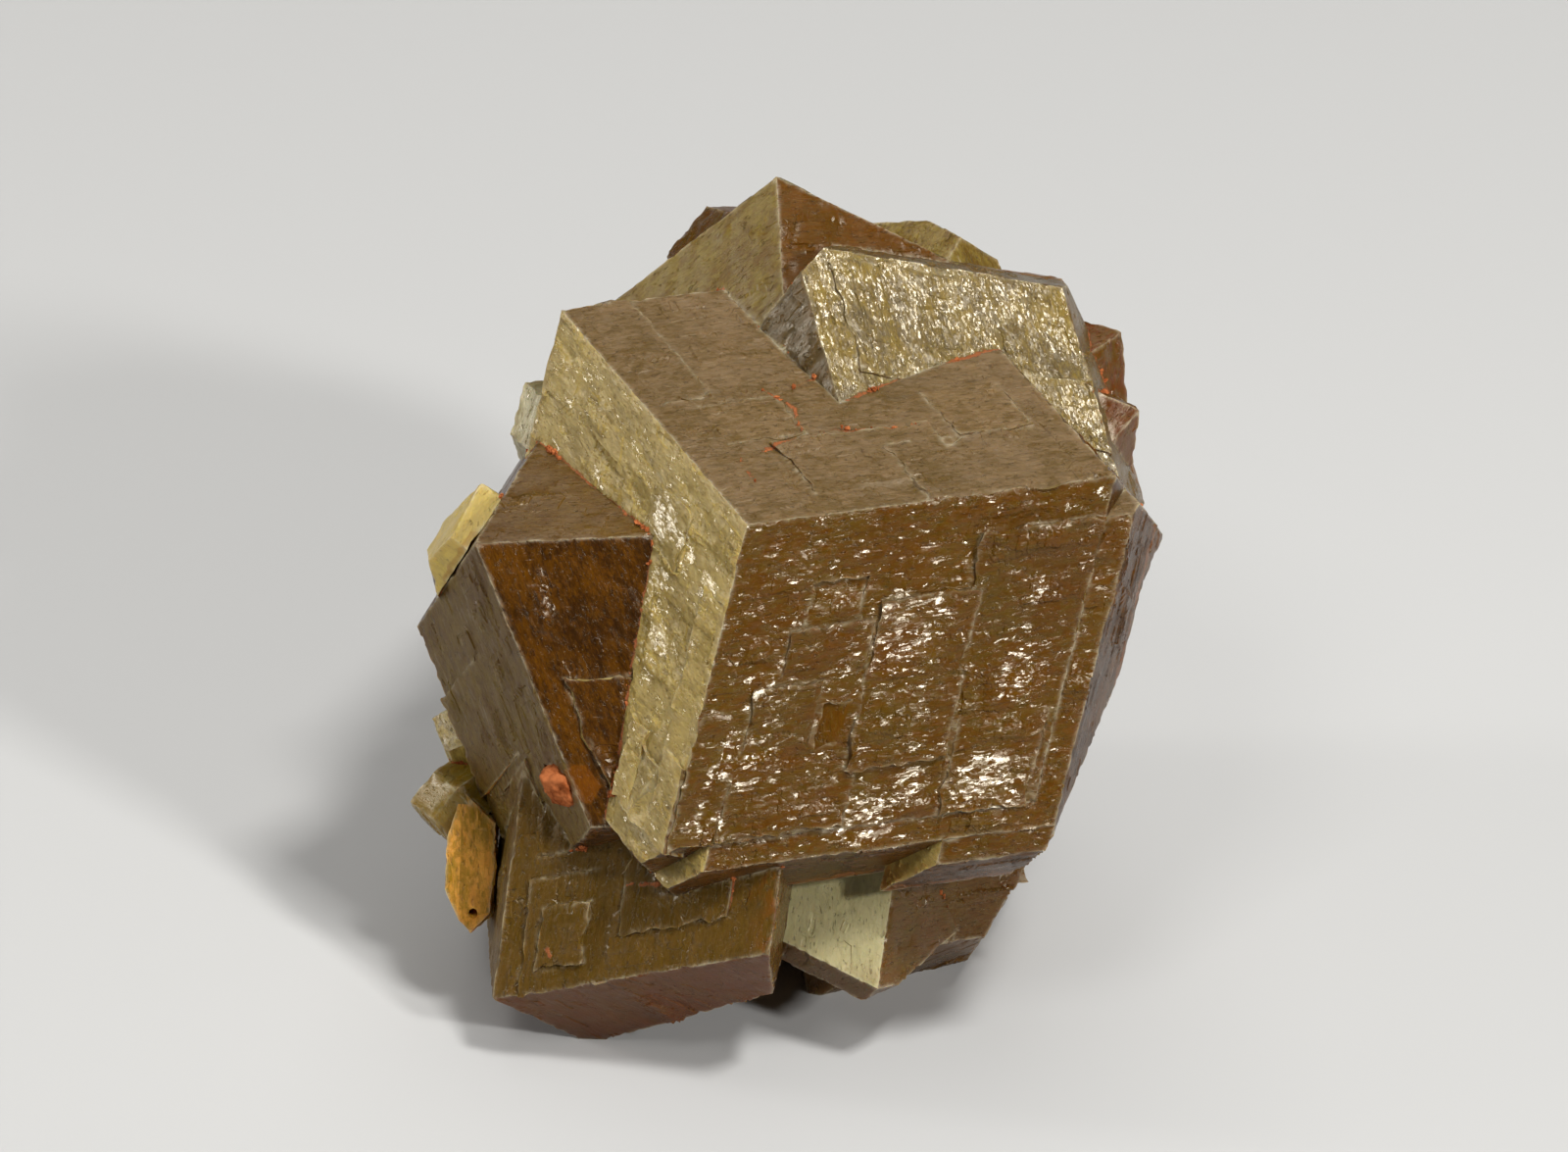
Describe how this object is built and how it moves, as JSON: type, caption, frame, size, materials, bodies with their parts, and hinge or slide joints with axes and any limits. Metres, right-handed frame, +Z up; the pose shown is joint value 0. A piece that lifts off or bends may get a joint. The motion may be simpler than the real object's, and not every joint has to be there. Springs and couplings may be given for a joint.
{
  "type": "andradite garnet crystal cluster",
  "caption": "Cluster of intergrown andradite garnet dodecahedra in olive and honey brown, with stepped faces and a crumb of iron oxide, resting on broken flats.",
  "frame": {"origin": "middle of the bounding box, at the height of the flats that the cluster rests on", "axes": "+Z up; the main crystal's large face looks towards -Y, and the cluster is deepest along Y"},
  "size_m": [0.0384, 0.0424, 0.0392],
  "materials": {
    "garnet": "olive to honey-brown garnet, glassy to satin, faces covered in fine growth steps",
    "iron_oxide": "matt rust-orange iron oxide, earthy and crumbly"
  },
  "bodies": {
    "root": {"garnet_cluster": "garnet", "iron_oxide_crumb": "iron_oxide"}
  },
  "joints": []
}
